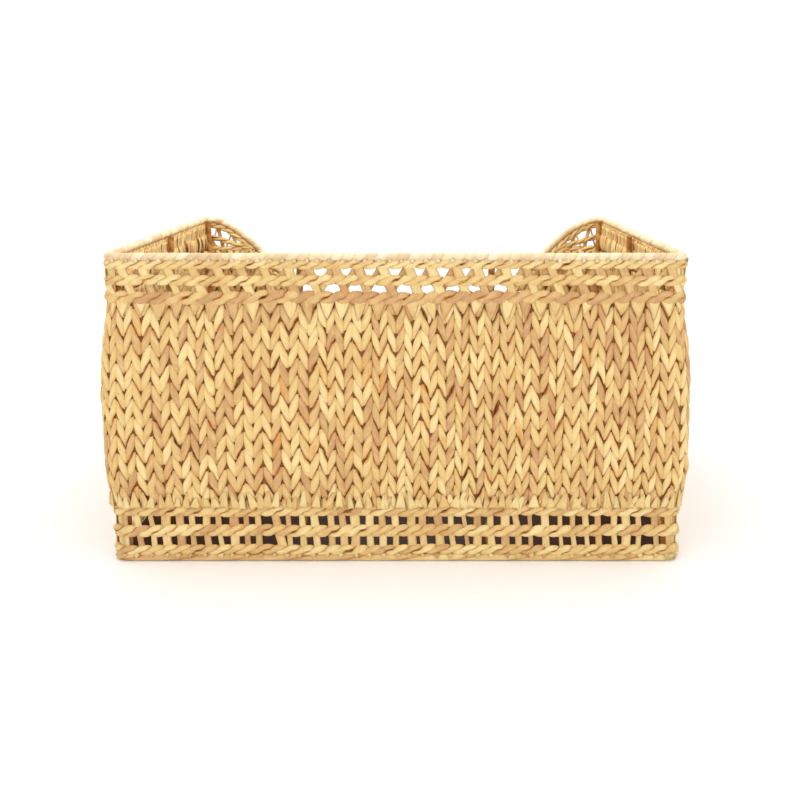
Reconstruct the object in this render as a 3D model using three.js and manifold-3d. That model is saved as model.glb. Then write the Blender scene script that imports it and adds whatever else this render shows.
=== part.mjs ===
// A rectangular woven basket of dried water hyacinth on an iron wire frame, for bread or pantry goods.
// One long wall has a straight rim. The opposite long wall is scooped down to half height for reaching in.
// Each wall is woven in three zones: an openwork band of crossed stakes under the rim, a dense panel of
// upright twined columns, and an openwork band of upright stakes above the base.
// Millimetres, +Z up. The origin is the centre of the footprint, on the surface the basket stands on.
// The straight wall is at -Y and the scooped wall at +Y.
import * as THREE from "three";
import { mergeGeometries, mergeVertices } from "three/addons/utils/BufferGeometryUtils.js";
import Module from "manifold-3d";

const wasm = await Module();
wasm.setup();

// Overall size, over the weave.
const WIDTH = 400;
const DEPTH = 300;
const HEIGHT = 220;
const CORNER_R = 8; // outer radius of the upright corners
const GAP = 0.3; // clearance between neighbouring pieces

// Wire frame and the leaf strip wound round it.
const LOOP_ROD_R = 1.9;
const POST_ROD_R = 1.5;
const LOOP_WRAP_R = 2.9;
const POST_WRAP_R = 2.4;
const LOOP_SIDES = 8;
const ROD_SIDES = 6;

// Weave thickness, centred on the plane of the rim and base rods.
const PANEL_T = 5.6;
const BAND_T = 4.6;
const COLUMN_PITCH = 11.7; // one upright twined column of the panel
const GROOVE = { half: 1.6, depth: 0.9 }; // the valley between two columns

// Heights of the three zones. Each openwork band has three twined rows.
const PANEL_Z = [40.5, 186.1];
const TOP_ROWS_Z = [
  [186.4, 191.8],
  [197.4, 203.0],
  [208.6, 213.9],
];
const BOTTOM_ROWS_Z = [
  [6.1, 11.2],
  [19.2, 25.2],
  [34.0, 40.2],
];
const TOP_STAKE_PITCH = 16.4; // one crossed pair of stakes
const BOTTOM_STAKE_PITCH = 9.3;
const STAKE_SHARE = 0.5; // share of the pitch that an upright stake fills

// The scoop in the +Y wall: the rim falls by SCOOP_DROP between SCOOP_START and SCOOP_FLAT from the middle.
const SCOOP_DROP = 104;
const SCOOP_START = 192;
const SCOOP_FLAT = 52;
const BORDER_ROW_R = 2.5;

// Base board and the rods it lies on.
const BOARD_T = 2.8;
const BASE_ROD_Z = 4.2;
const UPRIGHT_X = 66;

const HALF_W = WIDTH / 2;
const HALF_D = DEPTH / 2;
const ROD_INSET = LOOP_WRAP_R; // from the outer face to the plane of the rods
const ROD_X = HALF_W - ROD_INSET;
const ROD_Y = HALF_D - ROD_INSET;
const STRAIGHT_X = HALF_W - CORNER_R; // where the corner turn begins
const STRAIGHT_Y = HALF_D - CORNER_R;
const RIM_Z = HEIGHT - LOOP_WRAP_R;
const BASE_Z = LOOP_WRAP_R;
const INNER_FACE = ROD_INSET + PANEL_T / 2;
const POST_CLEARANCE = 0.7;
const POST_INSET = INNER_FACE + POST_CLEARANCE + POST_WRAP_R;
const POST_X = HALF_W - POST_INSET;
const POST_Y = HALF_D - POST_INSET;
const POST_Z = [1.0, 216.5];
const BORDER_OFFSET = LOOP_WRAP_R + BORDER_ROW_R + 0.2; // from the rim line to the border row's line

const leafColour = 0xe3bb83;
const wrapColour = 0xdcb27a;
const postColour = 0xa9793f;
const ironColour = 0x2c2a29;
const boardColour = 0x2a1a15;

const leaf = new THREE.MeshStandardMaterial({ color: leafColour, roughness: 0.75 });
const wrap = new THREE.MeshStandardMaterial({ color: wrapColour, roughness: 0.7 });
const postWrap = new THREE.MeshStandardMaterial({ color: postColour, roughness: 0.75 });
const iron = new THREE.MeshStandardMaterial({ color: ironColour, roughness: 0.5, metalness: 0.9 });
const boardWood = new THREE.MeshStandardMaterial({ color: boardColour, roughness: 0.45 });

const basket = new THREE.Group();

function add(name, geometry, material, x = 0, y = 0, z = 0) {
  const mesh = new THREE.Mesh(geometry, material);
  mesh.name = name;
  mesh.position.set(x, y, z);
  basket.add(mesh);
  return mesh;
}

// A curve through given stations, with one section of the sweep at each of them.
class StationPath extends THREE.Curve {
  constructor(stations) {
    super();
    this.stations = stations;
  }
  getPointAt(u, target = new THREE.Vector3()) {
    const at = u * (this.stations.length - 1);
    const i = Math.min(Math.floor(at), this.stations.length - 2);
    return target.lerpVectors(this.stations[i], this.stations[i + 1], at - i);
  }
  getTangentAt(u, target = new THREE.Vector3()) {
    const last = this.stations.length - 1;
    const i = Math.round(u * last);
    const before = this.stations[Math.max(i - 1, 0)];
    const after = this.stations[Math.min(i + 1, last)];
    return target.subVectors(after, before).normalize();
  }
}

// A regular polygon whose flats stand apothem from its centre, with a flat towards +x.
function polygon(apothem, sides) {
  const radius = apothem / Math.cos(Math.PI / sides);
  return Array.from({ length: sides }, (_, i) => {
    const angle = ((i + 0.5) * 2 * Math.PI) / sides;
    return new THREE.Vector2(radius * Math.cos(angle), radius * Math.sin(angle));
  });
}

function sweep(stations, section) {
  return new THREE.ExtrudeGeometry(section, {
    steps: stations.length - 1,
    extrudePath: new StationPath(stations),
    bevelEnabled: false,
  });
}

function rod(stations, radius, sides = ROD_SIDES) {
  return sweep(stations, new THREE.Shape(polygon(radius, sides)));
}

// A strip wound round a rod, as a tube with the rod's bore through it.
function windingTube(stations, outer, rodRadius) {
  const section = new THREE.Shape(polygon(outer, LOOP_SIDES));
  section.holes.push(new THREE.Path(polygon(rodRadius + GAP, ROD_SIDES)));
  return sweep(stations, section);
}

// Height of the rim line above the base on the scooped wall, at x from the middle.
function rimHeight(x) {
  const t = THREE.MathUtils.smoothstep(Math.abs(x), SCOOP_FLAT, SCOOP_START);
  return RIM_Z - SCOOP_DROP * (1 - t);
}

// Points [x, z] of a line that keeps a distance under the scooped rim, from x = first to x = last.
function underRim(distance, first, last, count) {
  return Array.from({ length: count + 1 }, (_, i) => {
    const x = first + ((last - first) * i) / count;
    const step = 0.01;
    const slope = (rimHeight(x + step) - rimHeight(x - step)) / (2 * step);
    const length = Math.hypot(1, slope);
    return [x + (slope * distance) / length, rimHeight(x) - distance / length];
  });
}

const SCOOP_STEPS = 36;

// Stations of the loop's quarter turn about a corner centre, from one angle to another in degrees.
function turn(signX, signY, z, from, to, steps = 4) {
  const r = CORNER_R - ROD_INSET;
  return Array.from({ length: steps + 1 }, (_, i) => {
    const angle = THREE.MathUtils.degToRad(from + ((to - from) * i) / steps);
    return new THREE.Vector3(
      signX * STRAIGHT_X + r * Math.cos(angle),
      signY * STRAIGHT_Y + r * Math.sin(angle),
      z,
    );
  });
}

function scoopStations() {
  return underRim(0, STRAIGHT_X - 0.5, 0.5 - STRAIGHT_X, SCOOP_STEPS).map(
    ([x, z]) => new THREE.Vector3(x, ROD_Y, z),
  );
}

// The loop rods: one bent wire each for the rim and the base, butted in the middle of the straight wall.
function loopStations(z, scooped) {
  const start = new THREE.Vector3(GAP / 2, -ROD_Y, z);
  const end = new THREE.Vector3(-GAP / 2, -ROD_Y, z);
  return [
    start,
    ...turn(1, -1, z, -90, 0),
    ...turn(1, 1, z, 0, 90),
    ...(scooped ? scoopStations() : []),
    ...turn(-1, 1, z, 90, 180),
    ...turn(-1, -1, z, 180, 270),
    end,
  ];
}

// The windings: one on each side, parted in the middle of each corner turn.
function sideStations(side, z, scooped) {
  const part = 13; // degrees left free at each parting
  if (side === "straight") {
    return [...turn(-1, -1, z, 225 + part, 270, 2), ...turn(1, -1, z, -90, -45 - part, 2)];
  }
  if (side === "right") {
    return [...turn(1, -1, z, -45 + part, 0, 2), ...turn(1, 1, z, 0, 45 - part, 2)];
  }
  if (side === "scooped") {
    const middle = scooped ? scoopStations() : [];
    return [...turn(1, 1, z, 45 + part, 90, 2), ...middle, ...turn(-1, 1, z, 90, 135 - part, 2)];
  }
  return [...turn(-1, 1, z, 135 + part, 180, 2), ...turn(-1, -1, z, 180, 225 - part, 2)];
}

function addLoops() {
  add("rim_rod", rod(loopStations(RIM_Z, true), LOOP_ROD_R), iron);
  add("base_rod", rod(loopStations(BASE_Z, false), LOOP_ROD_R), iron);
  for (const side of ["straight", "right", "scooped", "left"]) {
    const rim = windingTube(sideStations(side, RIM_Z, true), LOOP_WRAP_R, LOOP_ROD_R);
    const base = windingTube(sideStations(side, BASE_Z, false), LOOP_WRAP_R, LOOP_ROD_R);
    add(`rim_wrap_${side}`, rim, wrap);
    add(`base_wrap_${side}`, base, wrap);
  }
}

// An upright rod in its winding, standing just inside the weave.
function addPost(rodName, wrapName, x, y, top) {
  const stations = [new THREE.Vector3(x, y, POST_Z[0]), new THREE.Vector3(x, y, top)];
  add(rodName, rod(stations, POST_ROD_R), iron);
  add(wrapName, windingTube(stations, POST_WRAP_R, POST_ROD_R), postWrap);
}

function addPosts() {
  for (const [sideX, signX] of [["left", -1], ["right", 1]]) {
    for (const [sideY, signY] of [["straight", -1], ["scooped", 1]]) {
      const corner = `${sideY}_${sideX}`;
      addPost(`corner_post_${corner}`, `post_wrap_${corner}`, signX * POST_X, signY * POST_Y, POST_Z[1]);
    }
    const scoopedTop = rimHeight(UPRIGHT_X) - LOOP_WRAP_R - GAP;
    addPost(`upright_straight_${sideX}`, `upright_wrap_straight_${sideX}`, signX * UPRIGHT_X, -POST_Y, POST_Z[1]);
    addPost(`upright_scooped_${sideX}`, `upright_wrap_scooped_${sideX}`, signX * UPRIGHT_X, POST_Y, scoopedTop);
    addPost(`upright_${sideX}`, `upright_wrap_${sideX}`, signX * POST_X, 0, POST_Z[1]);
  }
}

function solidFrom(geometry) {
  const bare = new THREE.BufferGeometry();
  bare.setAttribute("position", geometry.getAttribute("position"));
  const merged = mergeVertices(bare);
  const mesh = new wasm.Mesh({
    numProp: 3,
    vertProperties: merged.getAttribute("position").array,
    triVerts: new Uint32Array(merged.index.array),
  });
  return new wasm.Manifold(mesh);
}

// What is left of a piece when the cutters are taken out of it.
function cut(piece, cutters) {
  const mesh = solidFrom(piece).subtract(solidFrom(mergeGeometries(cutters))).getMesh();
  const left = new THREE.BufferGeometry();
  left.setAttribute("position", new THREE.BufferAttribute(mesh.vertProperties, 3));
  left.setIndex(new THREE.BufferAttribute(mesh.triVerts, 1));
  const faceted = left.toNonIndexed();
  faceted.computeVertexNormals();
  return faceted;
}

function prism(points, depth) {
  const shape = new THREE.Shape(points.map(([x, y]) => new THREE.Vector2(x, y)));
  return new THREE.ExtrudeGeometry(shape, { depth, steps: 1, bevelEnabled: false });
}

// A flat piece of a wall: its elevation in x and z, given thickness along y about the plane of the rods.
function wallPiece(outline, thickness) {
  const piece = prism(outline, thickness);
  piece.translate(0, 0, -thickness / 2);
  piece.rotateX(Math.PI / 2); // the shape's y becomes z
  return piece;
}

function openwork(outline, openings) {
  return cut(wallPiece(outline, BAND_T), openings.map((opening) => wallPiece(opening, 2 * BAND_T)));
}

// A dense panel of upright twined columns, parted by shallow valleys on both faces.
function columnPanel(outline, halfLength) {
  const count = Math.round((2 * halfLength) / COLUMN_PITCH);
  const pitch = (2 * halfLength) / count;
  const face = PANEL_T / 2;
  const valleys = [];
  for (let i = 1; i < count; i += 1) {
    const x = i * pitch - halfLength;
    for (const side of [1, -1]) {
      const points = [
        [x, side * (face - GROOVE.depth)],
        [x + GROOVE.half, side * (face + GROOVE.depth)],
        [x - GROOVE.half, side * (face + GROOVE.depth)],
      ];
      valleys.push(prism(side > 0 ? points : points.reverse(), HEIGHT));
    }
  }
  return cut(wallPiece(outline, PANEL_T), valleys);
}

function rectangle(x0, x1, z0, z1) {
  return [[x0, z0], [x1, z0], [x1, z1], [x0, z1]];
}

// Openings between two twined rows. Each leans by lean at its top, away from its middle on both sides.
function openingsBetween(lower, upper, halfLength, pitch, share, lean) {
  const count = Math.floor((2 * halfLength) / pitch);
  const first = (-(count - 1) / 2) * pitch;
  const half = ((1 - share) * pitch) / 2;
  const z0 = lower[1];
  const z1 = upper[0];
  return Array.from({ length: count }, (_, i) => first + i * pitch)
    .filter((x) => Math.abs(x) + half + lean < halfLength)
    .map((x) => [[x - half, z0], [x + half, z0], [x + half + lean, z1], [x - half - lean, z1]]);
}

// The three twined rows of a band with the stakes between them, as one lattice.
function band(rows, halfLength, pitch, share, lean) {
  const openings = [
    ...openingsBetween(rows[0], rows[1], halfLength, pitch, share, lean),
    ...openingsBetween(rows[1], rows[2], halfLength, pitch, share, lean),
  ];
  return openwork(rectangle(-halfLength, halfLength, rows[0][0], rows[2][1]), openings);
}

function addWalls() {
  const lean = 1.6;
  const crossShare = 0.48;
  const walls = [
    ["straight", STRAIGHT_X - GAP, 0, [0, -ROD_Y]],
    ["right", STRAIGHT_Y - GAP, Math.PI / 2, [ROD_X, 0]],
    ["scooped", STRAIGHT_X - GAP, Math.PI, [0, ROD_Y]],
    ["left", STRAIGHT_Y - GAP, -Math.PI / 2, [-ROD_X, 0]],
  ];
  for (const [side, halfLength, yaw, [x, y]] of walls) {
    const place = (name, geometry) => {
      add(name, geometry, leaf, x, y).rotation.z = yaw;
    };
    place(`bottom_band_${side}`, band(BOTTOM_ROWS_Z, halfLength, BOTTOM_STAKE_PITCH, STAKE_SHARE, 0));
    if (side === "scooped") {
      continue;
    }
    place(`top_band_${side}`, band(TOP_ROWS_Z, halfLength, TOP_STAKE_PITCH, crossShare, lean));
    const outline = rectangle(-halfLength, halfLength, ...PANEL_Z);
    place(`woven_panel_${side}`, columnPanel(outline, halfLength));
  }
}

// The dense panel, the border row and what is left of the top band on the scooped wall.
function addScoopedWall() {
  const half = STRAIGHT_X - GAP;
  const below = BORDER_OFFSET + BORDER_ROW_R + 3 * GAP;
  const line = underRim(below, half + 4, -half - 4, 2 * SCOOP_STEPS);
  const dip = line.filter(([, z]) => z < PANEL_Z[1]);
  const panel = [[-half, PANEL_Z[0]], [half, PANEL_Z[0]], [half, PANEL_Z[1]]];
  const edge = [...dip, [-half, PANEL_Z[1]]];
  add("woven_panel_scooped", columnPanel([...panel, ...edge], half), leaf, 0, ROD_Y);

  const reach = half - 2 * GAP;
  const border = underRim(BORDER_OFFSET, reach, -reach, SCOOP_STEPS);
  const stations = border.map(([x, z]) => new THREE.Vector3(x, ROD_Y, z));
  add("scoop_border_row", rod(stations, BORDER_ROW_R, LOOP_SIDES), leaf);

  const [lowRow, midRow] = TOP_ROWS_Z;
  const shoulder = line.filter(([x, z]) => x > 0 && x < half && z > lowRow[0]);
  const outline = [[shoulder[shoulder.length - 1][0], lowRow[0]], [half, lowRow[0]]];
  outline.push([half, shoulder[0][1]], ...shoulder.slice(0, -1));
  const openings = [
    rectangle(174, 184, lowRow[1], midRow[0]),
    [[165, lowRow[1]], [171, lowRow[1]], [171, 196.6], [165, 193.0]],
    [[182, midRow[1]], [188.5, midRow[1]], [188.5, 206.0], [182, 205.2]],
  ];
  const mirror = (points) => points.map(([x, z]) => [-x, z]).reverse();
  add("top_band_scooped_right", openwork(outline, openings), leaf, 0, ROD_Y);
  add("top_band_scooped_left", openwork(mirror(outline), openings.map(mirror)), leaf, 0, ROD_Y);
}

// The weave turning each upright corner, as a quarter ring.
function addCornerTurns() {
  const inner = CORNER_R - INNER_FACE + GAP;
  const height = TOP_ROWS_Z[2][1] - BOTTOM_ROWS_Z[0][0];
  const corners = [
    ["straight_left", -1, -1, Math.PI],
    ["straight_right", 1, -1, -Math.PI / 2],
    ["scooped_right", 1, 1, 0],
    ["scooped_left", -1, 1, Math.PI / 2],
  ];
  for (const [corner, signX, signY, yaw] of corners) {
    const ring = new THREE.Shape();
    ring.absarc(0, 0, CORNER_R, 0, Math.PI / 2, false);
    ring.absarc(0, 0, inner, Math.PI / 2, 0, true);
    const column = new THREE.ExtrudeGeometry(ring, {
      depth: height,
      steps: 1,
      curveSegments: 6,
      bevelEnabled: false,
    });
    const mesh = add(`corner_turn_${corner}`, column, leaf);
    mesh.position.set(signX * STRAIGHT_X, signY * STRAIGHT_Y, BOTTOM_ROWS_Z[0][0]);
    mesh.rotation.z = yaw;
  }
}

// Bare rods tied across the base loop, two across and three end to end along the middle.
function addBaseRods() {
  const reachX = POST_X - POST_WRAP_R - GAP;
  const reachY = POST_Y - POST_WRAP_R - GAP;
  const along = (x0, x1) => rod(
    [new THREE.Vector3(x0, 0, BASE_ROD_Z), new THREE.Vector3(x1, 0, BASE_ROD_Z)],
    POST_ROD_R,
  );
  const across = (x) => rod(
    [new THREE.Vector3(x, -reachY, BASE_ROD_Z), new THREE.Vector3(x, reachY, BASE_ROD_Z)],
    POST_ROD_R,
  );
  const clear = POST_ROD_R + GAP;
  add("base_cross_rod_left", across(-UPRIGHT_X), iron);
  add("base_cross_rod_right", across(UPRIGHT_X), iron);
  add("base_long_rod_left", along(-reachX, -UPRIGHT_X - clear), iron);
  add("base_long_rod_middle", along(-UPRIGHT_X + clear, UPRIGHT_X - clear), iron);
  add("base_long_rod_right", along(UPRIGHT_X + clear, reachX), iron);
}

// The dark floor board, notched round the posts and uprights.
function addBoard() {
  const edgeX = HALF_W - INNER_FACE - 2 * GAP;
  const edgeY = HALF_D - INNER_FACE - 2 * GAP;
  const room = POST_WRAP_R + GAP;
  const deepX = POST_X - room;
  const deepY = POST_Y - room;
  const quarter = [
    [edgeX, room],
    [edgeX, deepY],
    [deepX, deepY],
    [deepX, edgeY],
    [UPRIGHT_X + room, edgeY],
    [UPRIGHT_X + room, deepY],
    [UPRIGHT_X - room, deepY],
    [UPRIGHT_X - room, edgeY],
  ];
  const middle = [deepX, room];
  const right = [middle, ...quarter];
  const outline = [
    ...right,
    ...right.map(([x, y]) => [-x, y]).reverse(),
    ...right.map(([x, y]) => [-x, -y]),
    ...right.map(([x, y]) => [x, -y]).reverse(),
  ];
  const shape = new THREE.Shape(outline.map(([x, y]) => new THREE.Vector2(x, y)));
  const board = new THREE.ExtrudeGeometry(shape, { depth: BOARD_T, steps: 1, bevelEnabled: false });
  add("base_board", board, boardWood, 0, 0, BASE_ROD_Z + POST_ROD_R + GAP);
}

addLoops();
addPosts();
addWalls();
addScoopedWall();
addCornerTurns();
addBaseRods();
addBoard();

export default basket;
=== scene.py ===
import math

import bpy
import numpy as np
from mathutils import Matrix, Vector


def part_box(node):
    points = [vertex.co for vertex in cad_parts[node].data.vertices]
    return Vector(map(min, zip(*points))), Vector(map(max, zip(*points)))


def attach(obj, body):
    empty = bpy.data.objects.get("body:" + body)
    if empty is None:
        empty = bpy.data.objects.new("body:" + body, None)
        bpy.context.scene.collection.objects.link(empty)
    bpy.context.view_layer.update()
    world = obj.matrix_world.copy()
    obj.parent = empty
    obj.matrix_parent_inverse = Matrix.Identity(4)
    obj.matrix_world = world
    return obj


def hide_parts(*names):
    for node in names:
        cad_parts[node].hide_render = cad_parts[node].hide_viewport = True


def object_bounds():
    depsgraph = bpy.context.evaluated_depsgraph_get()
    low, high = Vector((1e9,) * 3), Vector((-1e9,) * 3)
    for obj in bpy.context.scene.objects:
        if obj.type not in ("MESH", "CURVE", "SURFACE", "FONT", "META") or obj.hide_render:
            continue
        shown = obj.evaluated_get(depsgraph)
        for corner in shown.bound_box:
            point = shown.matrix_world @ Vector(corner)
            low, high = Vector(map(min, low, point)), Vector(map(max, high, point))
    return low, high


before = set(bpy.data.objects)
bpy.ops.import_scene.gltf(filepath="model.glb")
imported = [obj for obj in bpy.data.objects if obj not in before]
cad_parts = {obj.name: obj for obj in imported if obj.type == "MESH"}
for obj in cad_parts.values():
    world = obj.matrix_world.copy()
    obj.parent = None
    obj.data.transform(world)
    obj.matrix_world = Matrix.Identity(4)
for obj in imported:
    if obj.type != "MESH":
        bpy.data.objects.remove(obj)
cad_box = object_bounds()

# The looks of a woven water hyacinth basket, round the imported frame.
# Every strand of leaf is its own closed ribbon: ropes of two strands twisted together make the dense
# columns of the walls and the twined rows, flat blades make the stakes and the trimmed ends, and one
# strand wound in a helix makes each winding round a rod.
# Lengths here are in millimetres. make_piece turns them into metres.
MM = 0.001
ROOT = "root"


def node_box(node):
    """A CAD node's lowest and highest corner, in millimetres."""
    low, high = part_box(node)
    return np.array(low) / MM, np.array(high) / MM


# Sizes read from the frame.
RIM_LOW, RIM_HIGH = node_box("rim_wrap_straight")
WRAP_R = (RIM_HIGH[2] - RIM_LOW[2]) / 2
RIM_Z = RIM_HIGH[2] - WRAP_R
HALF_W = cad_box[1].x / MM
HALF_D = cad_box[1].y / MM
ROD_X = HALF_W - WRAP_R
ROD_Y = HALF_D - WRAP_R
CORNER_X, CORNER_Y = node_box("corner_turn_scooped_right")[0][:2]
TURN_R = ROD_X - CORNER_X
PANEL_LOW, PANEL_HIGH = (corner[2] for corner in node_box("woven_panel_straight"))
BAND_LOW, BAND_HIGH = (corner[2] for corner in node_box("top_band_straight"))
LOOP_ROD_R = 1.9
SCOOP_DROP = np.ptp([corner[2] for corner in node_box("rim_rod")]) - 2 * LOOP_ROD_R
SCOOP_START = 192
SCOOP_FLAT = 52

# Twined rows, from the rim down and from the base up. A pass is one visible crossing of a strand.
TOP_ROWS = [BAND_HIGH - 1.8, (BAND_LOW + BAND_HIGH) / 2 + 0.8, BAND_LOW + 2.6]
TOP_ROW_RADII = [3.5, 4.0, 5.0]
TOP_ROW_TONES = [(0.4, 1.1), (0.3, 1.0), (-0.2, 0.5)]
TOP_ROW_PASSES = [8.9, 9.4, 10.6]  # length of a pass
TOP_ROW_DEPTH = 2.7
TOP_ROW_OUT = 0.6
BOTTOM_ROWS = [8.3, 22.5, 37.5]
BOTTOM_ROW_RADII = [3.7, 4.4, 4.5]
BOTTOM_ROW_TONES = (0.1, 1.0)
BOTTOM_ROW_DEPTH = 2.8
BOTTOM_ROW_OUT = 2.0
BOTTOM_ROW_SWAY = 0.35
ROW_WAVES = (23, 9.5)  # how far apart a row's slow and quick sways come, over 2 pi
ROW_LOOKS = {"ease": 0.38, "width": 1.32, "belly": 0.5, "crease": 0.4, "steps": 11, "uneven": 1.2}

# Stakes between the rows. A top band's stakes cross in pairs, the front one leaning right.
STAKE_THICKNESS = 1.1
STAKE_PITCH = 9.6
STAKE_WIDTH = 5.6
STAKE_WIDTH_SPREAD = 1.1
UPPER_STAKE_RANGE = (3.4, 8.0)
LOWER_STAKE_RANGE = (3.4, 7.6)
STAKE_OUT = 1.1
STAKE_LEAN = 0.9
PAIR_PITCH = 16.4
CLOSED_SHARE = 0.6  # the pitch of the pairs in a closed band, as a share of PAIR_PITCH
FRONT_WIDTHS = (6.6, 8.2)
FRONT_LEAN = 8.2
FRONT_OUT = 0.6
BACK_WIDTHS = (4.8, 6.2)
BACK_LEAN = -13.0
BACK_OUT = -1.5
BACKING_WIDTHS = (7.0, 12.0)
BACKING_OUTS = (-3.6, -2.2)
BACKING_WANDER = 3.5
CORNER_STAKE_PLACES = (-2.9, 0.3, 3.2)
CORNER_STAKE_WIDTHS = (4.4, 5.4)
CORNER_STAKE_OUT = -0.6

# The scooped wall's shoulders.
BORDER_RADII = (2.9, 2.7)
SHOULDER_OUT = 0.2
SHOULDER_SLOPES = [0.3, 0.04]  # fall of the second and third row towards the scoop
SHOULDER_ROW_RADII = [2.8, 3.2]
SHOULDER_ROW_TONES = (0.3, 1.0)
SHOULDER_PAIRS = 3
SHOULDER_PAIR_START = 8
SHOULDER_PAIR_PITCH = 14.0
SHOULDER_STAKES = [(5.0, 4.0, 0.5), (-6.0, 1.8, -1.4)]  # lean, width and place outwards

# Dense columns.
COLUMN_PITCH = 11.7
COLUMN_TURN = 25.4  # height of a full turn of a rope, which is two leaves
COLUMN_DEPTH = 3.1
COLUMN_FOOT = PANEL_LOW - 1.0
COLUMN_HEAD = PANEL_HIGH + 1.2
COLUMN_WANDER = 0.5
COLUMN_WIDENING = 0.07  # how much wider a wall's first columns are, and its last narrower
COLUMN_SPREAD = 0.06
PHASE_DRIFT = 0.9
PHASE_SPREAD = 1.2
COLUMN_LOOKS = {"ease": 0.1, "belly": 0.75, "steps": 9, "uneven": 1.25}
ROPE_OVERLAP = 1.26  # a rope's width against its share of the wall
CORNER_OVERLAP = 1.42  # the same for the ropes that share a corner turn
BORDER_GAP = 6.5  # from the scooped rim's line down to the columns under it
BULGE = 5.8
BULGE_RISE = (26, 72)  # heights over which the bulge grows
BULGE_FALL = (-6, 62)  # distances under the columns' tops over which it fades
TOP_INSET = 1.5
INSET_HEIGHT = 26
WARP_WIDTH = 4.6
WARP_THICKNESS = 1.3
WARP_DEPTH = 0.4

# Flat leaves at the two ends of the columns.
LEAF_THICKNESS = 0.9
TOP_LEAF_LENGTHS = (9, 16)
TOP_LEAF_WIDTHS = (8.0, 11.5)
TOP_LEAF_OUT = 2.3
END_PLACES = (-0.27, 0.24)  # shares of the column's width
END_TOPS = (7, 13)
END_FEET = (-0.6, 1.0)
END_WIDTHS = (1.2, 2.6)
END_FLARES = (3.5, 7.5)
END_OUT = 2.4
# the ends take the lighter tones: painted lighter to make up for the shade on their flared faces
END_TONES = (0.35, 1.1)

# Windings round the rods and posts. The lay is the length of rod that one turn covers.
RIM_LAY = 7.6
RIM_CREASE = 0.1
BASE_LAY = 38.0
BASE_WRAP_Z = 2.9
BASE_WRAP_OUT = 1.2
BASE_WRAP_R = 2.8
POST_LAY = 9.0
WINDING_LOOKS = {"strands": 1, "core": 0.7, "width": 1.16, "belly": 0.0, "uneven": 0.5}
TIP_OUT = 2.6
TIP_THICKNESS = 0.7

# Spread of the passes of a strand about their plain shape, and the range of the odd ones.
WIDTH_SPREAD = 0.1
ODD_WIDTHS = (-0.3, 0.35)
HEIGHT_SPREAD = 0.06
ODD_HEIGHTS = (-0.05, 0.16)
PLACE_SPREAD = 0.035  # of the turn
SWAY_SPREAD = 0.12  # of the rope's reach
ANY_PHASE = (0, 6.3)

# Light and camera, in metres, watts and degrees.
WORLD_STRENGTH = 1.12
WHITE = (1.0, 1.0, 1.0)
WARM = (1.0, 0.84, 0.6)
LIGHTS = {  # place, target, side of the square, power, colour
    "top_light": ((0.0, -0.1, 1.7), (0, 0, 0.1), 1.6, 4, WHITE),
    "inner_light": ((0.0, 0.0, 0.5), (0, 0, 0), 0.2, 0.8, WARM),
    "key_light": ((-0.9, -1.5, 1.5), (0, 0, 0.1), 1.2, 3, WHITE),
    "fill_light": ((1.2, -1.4, 0.8), (0, 0, 0.1), 1.4, 1, WHITE),
}
FLOOR_HALF = 30.0
CAMERA_PLACE = (0.0185, -0.7881, 0.2968)
CAMERA_PITCH = 8.0  # below level
CAMERA_LENS = 42.72
CAMERA_SHIFT = (-0.028, -0.16)

SEEDS = {
    "panels": 100,
    "bottom_bands": 200,
    "top_bands": 300,
    "corners": 400,
    "shoulders": 500,
    "windings": 600,
    "posts": 700,
}

UP = np.array([0.0, 0.0, 1.0])


def smooth(x, low, high):
    """0 below low, 1 above high, with an even passage between."""
    t = np.clip((x - low) / (high - low), 0, 1)
    return t * t * (3 - 2 * t)


# --- The loop round the basket -------------------------------------------------------------------

WALL_LENGTHS = {
    "straight": 2 * CORNER_X,
    "right": 2 * CORNER_Y,
    "scooped": 2 * CORNER_X,
    "left": 2 * CORNER_Y,
}
TURN_LENGTH = TURN_R * math.pi / 2
WALLS = list(WALL_LENGTHS)


def wall_start(wall):
    """Distance round the loop at which a wall begins. The straight wall begins at 0, at its left end."""
    before = WALLS[: WALLS.index(wall)]
    return sum(WALL_LENGTHS[name] for name in before) + TURN_LENGTH * len(before)


def wall_span(wall):
    """The wall with half of the corner turn at each end."""
    start = wall_start(wall)
    return start - TURN_LENGTH / 2, start + WALL_LENGTHS[wall] + TURN_LENGTH / 2


def loop_frame(s, out=0.0):
    """Points at distance s round the loop of the rods, and the outward direction there."""
    s = np.asarray(s, dtype=float)
    total = sum(WALL_LENGTHS.values()) + 4 * TURN_LENGTH
    s = np.mod(s, total)
    points = np.zeros(s.shape + (3,))
    normals = np.zeros(s.shape + (3,))
    centres = [(-CORNER_X, -CORNER_Y), (CORNER_X, -CORNER_Y), (CORNER_X, CORNER_Y), (-CORNER_X, CORNER_Y)]
    for i, wall in enumerate(WALLS):
        past = s - wall_start(wall)
        length = WALL_LENGTHS[wall]
        here = (past >= 0) & (past < length + TURN_LENGTH)
        on_wall = np.minimum(past[here], length)
        heading = i * math.pi / 2
        angle = heading + np.maximum(past[here] - length, 0) / TURN_R
        normals[here, :2] = np.stack([np.sin(angle), -np.cos(angle)], axis=-1)
        along = np.array([math.cos(heading), math.sin(heading)])
        points[here, :2] = centres[i] + on_wall[:, None] * along + TURN_R * normals[here, :2]
    return points + normals * np.asarray(out)[..., None], normals


def rim_height(x):
    """Height of the rim rod on the scooped wall, x from the middle."""
    return RIM_Z - SCOOP_DROP * (1 - smooth(np.abs(x), SCOOP_FLAT, SCOOP_START))


def under_rim(distance, x):
    """Points that keep a distance under the scooped rim's line."""
    step = 0.01
    slope = (rim_height(x + step) - rim_height(x - step)) / (2 * step)
    length = np.hypot(1, slope)
    return x + slope * distance / length, rim_height(x) - distance / length


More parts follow.
